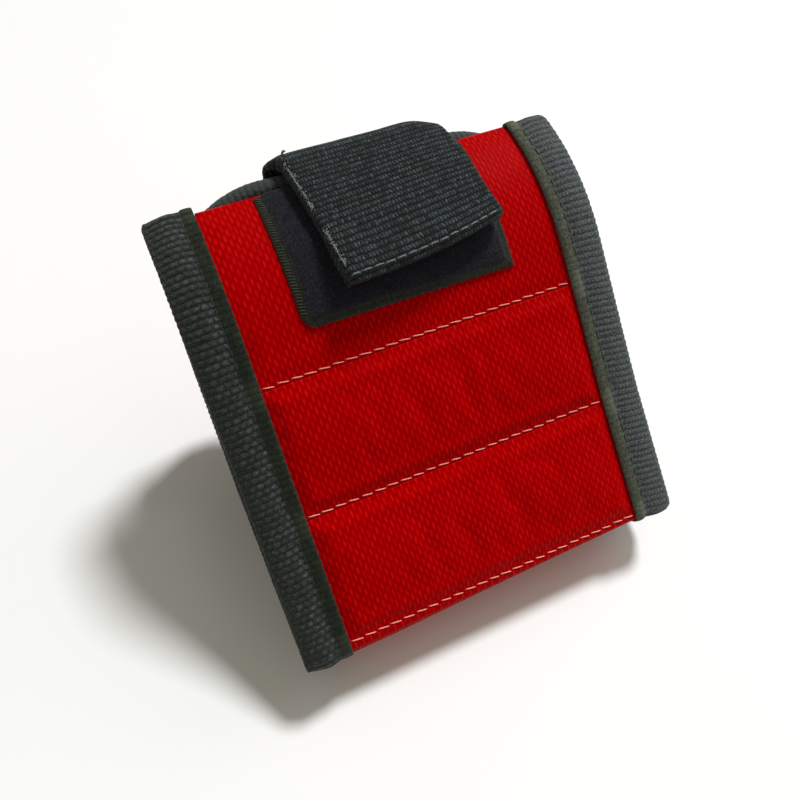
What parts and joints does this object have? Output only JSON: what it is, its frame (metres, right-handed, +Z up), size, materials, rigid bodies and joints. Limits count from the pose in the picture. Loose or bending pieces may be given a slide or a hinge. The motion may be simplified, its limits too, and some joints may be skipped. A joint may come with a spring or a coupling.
{
  "type": "magnetic wristband",
  "caption": "Padded fabric band closed into a loop, with magnets in stitched pockets, a bound edge and a webbing strap that lies on a loop patch.",
  "frame": {"origin": "middle of the footprint, on the surface that the band rests on", "axes": "+X along the loop's axis, from the left edge binding to the right; +Y towards the band's back; +Z up"},
  "size_m": [0.09, 0.089, 0.0679],
  "materials": {
    "nylon": "coarse basket weave with a dull sheen",
    "lining": "soft knit",
    "tape": "ribbed grosgrain tape",
    "webbing": "heathered webbing",
    "loop": "fuzzy loop pile",
    "hook": "moulded hooks",
    "thread": "waxed polyester",
    "foam": "closed-cell foam",
    "magnet": "nickel plate"
  },
  "bodies": {
    "base": {"cover_base": "nylon", "lining_base": "lining", "binding_left_base": "tape", "binding_right_base": "tape", "binding_tongue": "tape", "foam_under": "foam", "foam_base": "foam", "foam_back": "foam", "pad_tongue": "foam", "strap_root": "webbing", "magnet_under_1": "magnet", "magnet_under_2": "magnet", "magnet_under_3": "magnet", "magnet_base_1": "magnet", "magnet_base_2": "magnet", "magnet_base_3": "magnet", "magnet_back_1": "magnet", "magnet_back_2": "magnet", "magnet_back_3": "magnet", "stitch_row_4": "thread", "stitch_row_5": "thread", "stitch_row_6": "thread"},
    "lower": {"cover_lower": "nylon", "lining_lower": "lining", "binding_left_lower": "tape", "binding_right_lower": "tape", "foam_lower": "foam", "magnet_lower_1": "magnet", "magnet_lower_2": "magnet", "magnet_lower_3": "magnet", "stitch_row_3": "thread"},
    "upper": {"cover_upper": "nylon", "lining_upper": "lining", "binding_left_upper": "tape", "binding_right_upper": "tape", "foam_upper": "foam", "magnet_upper_1": "magnet", "magnet_upper_2": "magnet", "magnet_upper_3": "magnet", "stitch_row_2": "thread"},
    "flap": {"cover_flap": "nylon", "lining_flap": "lining", "binding_left_flap": "tape", "binding_right_flap": "tape", "pad_flap": "foam", "loop_patch": "loop", "stitch_row_1": "thread"},
    "strap": {"strap_band": "webbing", "hook_strip": "hook"},
    "tip": {"strap_tip": "webbing"}
  },
  "joints": [
    {"name": "row_three_flex", "type": "hinge", "parent": "base", "child": "lower", "pos_m": [0, -0.04154, 0.0149], "axis": [1, 0, 0], "range_deg": [0, 12]},
    {"name": "row_two_flex", "type": "hinge", "parent": "lower", "child": "upper", "pos_m": [0, -0.01921, 0.03079], "axis": [1, 0, 0], "range_deg": [0, 6]},
    {"name": "row_one_flex", "type": "hinge", "parent": "upper", "child": "flap", "pos_m": [0, 0.00239, 0.04765], "axis": [1, 0, 0], "range_deg": [0, 12]},
    {"name": "strap_peel", "type": "hinge", "parent": "base", "child": "strap", "pos_m": [0, 0.04434, 0.06092], "axis": [-1, 0, 0], "range_deg": [0, 150]},
    {"name": "strap_tip_lift", "type": "hinge", "parent": "strap", "child": "tip", "pos_m": [0, 0.02482, 0.06628], "axis": [-1, 0, 0], "range_deg": [0, 60]}
  ],
  "couplings": [
    {"joint": "row_two_flex", "follows": "row_three_flex", "ratio": 0.5},
    {"joint": "row_one_flex", "follows": "row_three_flex", "ratio": 1},
    {"joint": "strap_peel", "follows": "row_three_flex", "ratio": 12.5}
  ]
}
